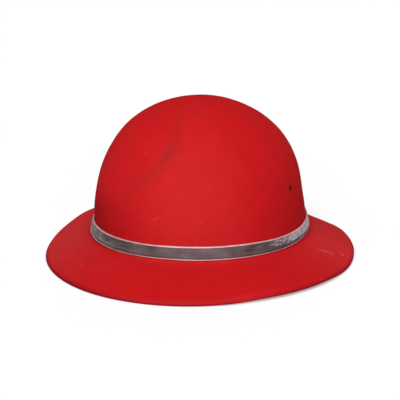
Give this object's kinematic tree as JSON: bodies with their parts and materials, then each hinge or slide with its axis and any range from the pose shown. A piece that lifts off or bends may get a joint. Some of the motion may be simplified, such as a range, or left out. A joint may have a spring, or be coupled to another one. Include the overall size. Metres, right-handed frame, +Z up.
{
  "type": "round felt hat with ribbon band",
  "caption": "Soft felt hat with a round crown, a drooping brim resting on its edge, and a narrow velvet ribbon round the foot of the crown.",
  "frame": {"origin": "middle of the brim's outline, on the surface that the brim rests on", "axes": "+Z up through the crown, -Y towards the front of the hat, +X towards the wearer's left"},
  "size_m": [0.2668, 0.2798, 0.1375],
  "materials": {
    "felt": "matte wool felt, scarlet, lightly soiled",
    "ribbon": "grey velvet pile between pale woven selvedges"
  },
  "bodies": {
    "root": {"felt_body": "felt", "ribbon_band": "ribbon"}
  },
  "joints": []
}
